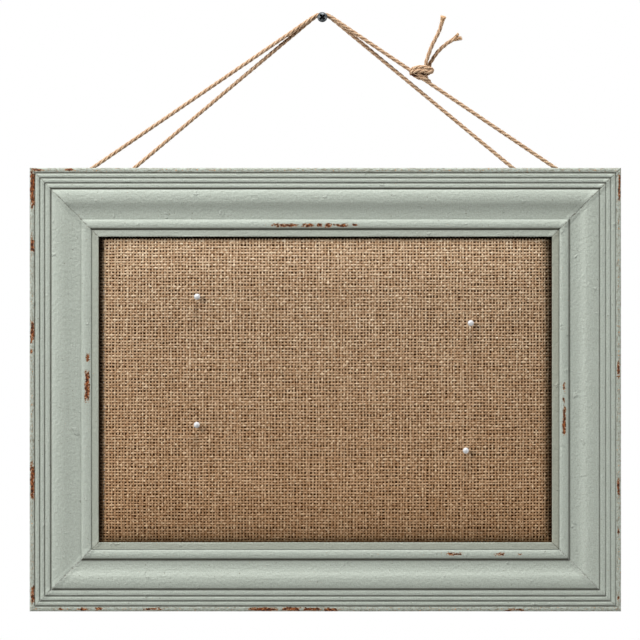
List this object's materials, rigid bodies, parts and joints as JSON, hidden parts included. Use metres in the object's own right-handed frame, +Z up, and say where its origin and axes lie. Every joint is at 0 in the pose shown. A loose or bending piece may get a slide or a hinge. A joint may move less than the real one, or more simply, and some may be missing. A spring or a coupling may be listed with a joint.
{
  "type": "memo board",
  "caption": "Burlap-covered pin board in a mitred, painted and rubbed wooden frame, hung from a wall screw by a knotted loop of jute twine, with ball-headed pins.",
  "frame": {"origin": "on the wall screw's axis, at the wall's surface", "axes": "+X to the viewer's right, +Y into the wall (the board's front faces -Y), +Z up"},
  "size_m": [0.508, 0.0622, 0.5173],
  "materials": {
    "paint": "satin grey-green paint, rubbed through to red-brown wood on the arrises",
    "burlap": "coarse plain-woven jute",
    "wadding": "white cotton wadding",
    "fibreboard": "soft pressed fibre",
    "hardboard": "smooth brown hardboard",
    "pin_head": "glossy white",
    "steel": "bright steel",
    "brass": "lacquered brass plate",
    "zinc": "zinc plated",
    "jute": "three-ply twisted jute"
  },
  "bodies": {
    "wall_screw": {"wall_screw": "zinc"},
    "pin_upper_left": {"pin_head_upper_left": "pin_head", "pin_needle_upper_left": "steel"},
    "pin_upper_right": {"pin_head_upper_right": "pin_head", "pin_needle_upper_right": "steel"},
    "pin_lower_left": {"pin_head_lower_left": "pin_head", "pin_needle_lower_left": "steel"},
    "pin_lower_right": {"pin_head_lower_right": "pin_head", "pin_needle_lower_right": "steel"},
    "turn_button_top_left": {"turn_button_top_left": "brass"},
    "turn_button_top_right": {"turn_button_top_right": "brass"},
    "turn_button_right": {"turn_button_right": "brass"},
    "turn_button_bottom_right": {"turn_button_bottom_right": "brass"},
    "turn_button_bottom_left": {"turn_button_bottom_left": "brass"},
    "turn_button_left": {"turn_button_left": "brass"},
    "board": {"top_rail": "paint", "right_rail": "paint", "bottom_rail": "paint", "left_rail": "paint", "v_nail_top_left_outer": "steel", "v_nail_top_left_inner": "steel", "v_nail_top_right_outer": "steel", "v_nail_top_right_inner": "steel", "v_nail_bottom_right_outer": "steel", "v_nail_bottom_right_inner": "steel", "v_nail_bottom_left_outer": "steel", "v_nail_bottom_left_inner": "steel", "burlap_cover": "burlap", "wadding_pad": "wadding", "fibreboard_core": "fibreboard", "hardboard_back": "hardboard", "turn_button_screw_top_left": "steel", "turn_button_screw_top_right": "steel", "turn_button_screw_right": "steel", "turn_button_screw_bottom_right": "steel", "turn_button_screw_bottom_left": "steel", "turn_button_screw_left": "steel", "screw_eye_left_outer": "brass", "screw_eye_left_inner": "brass", "screw_eye_right_inner": "brass", "screw_eye_right_outer": "brass", "twine_loop": "jute", "twine_knot": "jute", "twine_tail_up": "jute", "twine_tail_right": "jute"}
  },
  "joints": [
    {"name": "board_swing", "type": "hinge", "parent": "wall_screw", "child": "board", "pos_m": [0, 0, 0], "axis": [0, 1, 0], "range_deg": [-15, 15]},
    {"name": "pin_upper_left_pull", "type": "slide", "parent": "board", "child": "pin_upper_left", "axis": [0, -1, 0], "range_m": [0, 0.016]},
    {"name": "pin_upper_right_pull", "type": "slide", "parent": "board", "child": "pin_upper_right", "axis": [0, -1, 0], "range_m": [0, 0.016]},
    {"name": "pin_lower_left_pull", "type": "slide", "parent": "board", "child": "pin_lower_left", "axis": [0, -1, 0], "range_m": [0, 0.016]},
    {"name": "pin_lower_right_pull", "type": "slide", "parent": "board", "child": "pin_lower_right", "axis": [0, -1, 0], "range_m": [0, 0.016]},
    {"name": "turn_button_top_left_pivot", "type": "hinge", "parent": "board", "child": "turn_button_top_left", "pos_m": [-0.1024, -0.01, -0.1767], "axis": [0, 1, 0], "range_deg": [0, 90]},
    {"name": "turn_button_top_right_pivot", "type": "hinge", "parent": "board", "child": "turn_button_top_right", "pos_m": [0.1076, -0.01, -0.1767], "axis": [0, 1, 0], "range_deg": [0, 90]},
    {"name": "turn_button_right_pivot", "type": "hinge", "parent": "board", "child": "turn_button_right", "pos_m": [0.2105, -0.01, -0.3211], "axis": [0, 1, 0], "range_deg": [0, 90]},
    {"name": "turn_button_bottom_right_pivot", "type": "hinge", "parent": "board", "child": "turn_button_bottom_right", "pos_m": [0.1076, -0.01, -0.4655], "axis": [0, 1, 0], "range_deg": [0, 90]},
    {"name": "turn_button_bottom_left_pivot", "type": "hinge", "parent": "board", "child": "turn_button_bottom_left", "pos_m": [-0.1024, -0.01, -0.4655], "axis": [0, 1, 0], "range_deg": [0, 90]},
    {"name": "turn_button_left_pivot", "type": "hinge", "parent": "board", "child": "turn_button_left", "pos_m": [-0.2053, -0.01, -0.3211], "axis": [0, 1, 0], "range_deg": [0, 90]}
  ]
}
